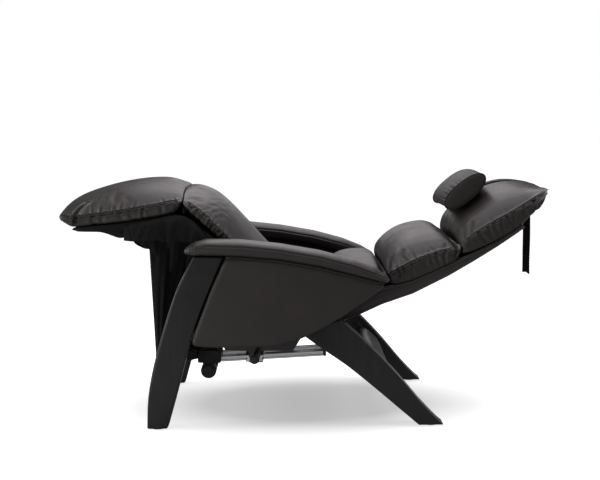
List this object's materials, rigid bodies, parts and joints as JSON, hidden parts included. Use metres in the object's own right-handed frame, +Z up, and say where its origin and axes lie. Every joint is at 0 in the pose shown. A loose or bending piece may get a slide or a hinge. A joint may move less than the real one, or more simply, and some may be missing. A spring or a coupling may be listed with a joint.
{
  "type": "powered zero gravity recliner chair",
  "caption": "Powered zero-gravity recliner at full recline: padded leather seat, back and legrest tilting on a bent wooden leg base with leather side panels and under-seat drives.",
  "frame": {"origin": "on the floor, at the centre of the bounding box of the fully reclined chair", "axes": "+X towards the sitter's left, -Y towards the feet, +Y towards the head, +Z up"},
  "size_m": [0.84, 1.6812, 0.8316],
  "materials": {
    "leather": "satin upholstery leather",
    "black_wood": "satin black lacquer over bent plywood",
    "black_plastic": "moulded matte",
    "aluminium": "extruded, satin anodised",
    "curtain_fabric": "stretch fabric",
    "lining_fabric": "non-woven lining",
    "webbing": "woven webbing",
    "steel": "turned",
    "black_steel": "black powder coat"
  },
  "bodies": {
    "base": {"control_box": "black_plastic", "front_cross_rail": "black_wood", "front_curtain": "curtain_fabric", "left_arm_pad": "leather", "left_beam_plate": "black_steel", "left_drive_bracket": "black_steel", "left_drive_rail": "aluminium", "left_front_glide": "black_plastic", "left_front_leg": "black_wood", "left_gearbox": "black_plastic", "left_motor": "black_steel", "left_pivot_plate": "black_steel", "left_rail_cap": "black_plastic", "left_rear_glide": "black_plastic", "left_rear_leg": "black_wood", "left_side_panel": "leather", "left_tilt_pin": "steel", "power_inlet": "black_plastic", "rear_cross_beam": "leather", "right_arm_pad": "leather", "right_beam_plate": "black_steel", "right_drive_bracket": "black_steel", "right_drive_rail": "aluminium", "right_front_glide": "black_plastic", "right_front_leg": "black_wood", "right_gearbox": "black_plastic", "right_motor": "black_steel", "right_pivot_plate": "black_steel", "right_rail_cap": "black_plastic", "right_rear_glide": "black_plastic", "right_rear_leg": "black_wood", "right_side_panel": "leather", "right_tilt_pin": "steel"},
    "push_bar_group": {"left_carriage": "black_plastic", "left_push_bolt": "black_steel", "push_bar": "aluminium", "right_carriage": "black_plastic", "right_push_bolt": "black_steel"},
    "seat_group": {"back_drive_gearbox": "black_plastic", "back_drive_motor": "black_steel", "back_drive_tube": "aluminium", "left_side_plate": "black_steel", "right_side_plate": "black_steel", "seat_cushion": "leather", "seat_deck": "lining_fabric", "seat_frame": "black_steel"},
    "legrest_group": {"legrest_board": "lining_fabric", "legrest_cushion": "leather", "legrest_frame": "black_steel"},
    "legrest_link_group": {"left_legrest_link": "black_steel", "right_legrest_link": "black_steel"},
    "back_group": {"back_frame": "black_steel", "back_shell": "leather", "head_cushion": "leather", "lower_back_cushion": "leather", "mid_back_cushion": "leather", "pillow_strap": "webbing"},
    "back_rod_group": {"back_drive_rod": "steel"},
    "pillow_group": {"head_pillow": "leather"},
    "strap_group": {"strap_tail": "webbing"}
  },
  "joints": [
    {"name": "seat_tilt", "type": "hinge", "parent": "base", "child": "seat_group", "pos_m": [0, 0.01, 0.375], "axis": [1, 0, 0], "range_deg": [0, 35], "deforming": ["front_curtain"]},
    {"name": "push_bar_slide", "type": "slide", "parent": "base", "child": "push_bar_group", "axis": [0, 0.999, 0.0436], "range_m": [-0.0005, 0.1305]},
    {"name": "legrest_lift", "type": "hinge", "parent": "seat_group", "child": "legrest_group", "pos_m": [0, -0.39, 0.665], "axis": [1, 0, 0], "range_deg": [-0.1, 15.1]},
    {"name": "legrest_link_swing", "type": "hinge", "parent": "base", "child": "legrest_link_group", "pos_m": [0, 0.04998, 0.37272], "axis": [1, 0, 0], "range_deg": [-0.1, 27.83]},
    {"name": "back_recline", "type": "hinge", "parent": "seat_group", "child": "back_group", "pos_m": [0, 0.025, 0.335], "axis": [1, 0, 0], "range_deg": [0, 12]},
    {"name": "back_rod_slide", "type": "slide", "parent": "seat_group", "child": "back_rod_group", "axis": [0, 0.7827, -0.6224], "range_m": [-0.0003, 0.01284]},
    {"name": "pillow_slide", "type": "slide", "parent": "back_group", "child": "pillow_group", "axis": [0, 0.7771, 0.6293], "range_m": [-0.04, 0.02]},
    {"name": "strap_swing", "type": "hinge", "parent": "back_group", "child": "strap_group", "pos_m": [0, 0.791, 0.693], "axis": [1, 0, 0], "range_deg": [-34, 30]}
  ],
  "couplings": [
    {"joint": "push_bar_slide", "follows": "seat_tilt", "m_per_rad": 0.21281},
    {"joint": "legrest_lift", "follows": "seat_tilt", "ratio": 0.42857},
    {"joint": "legrest_link_swing", "follows": "seat_tilt", "ratio": 0.79229},
    {"joint": "back_rod_slide", "follows": "back_recline", "m_per_rad": 0.05989}
  ]
}
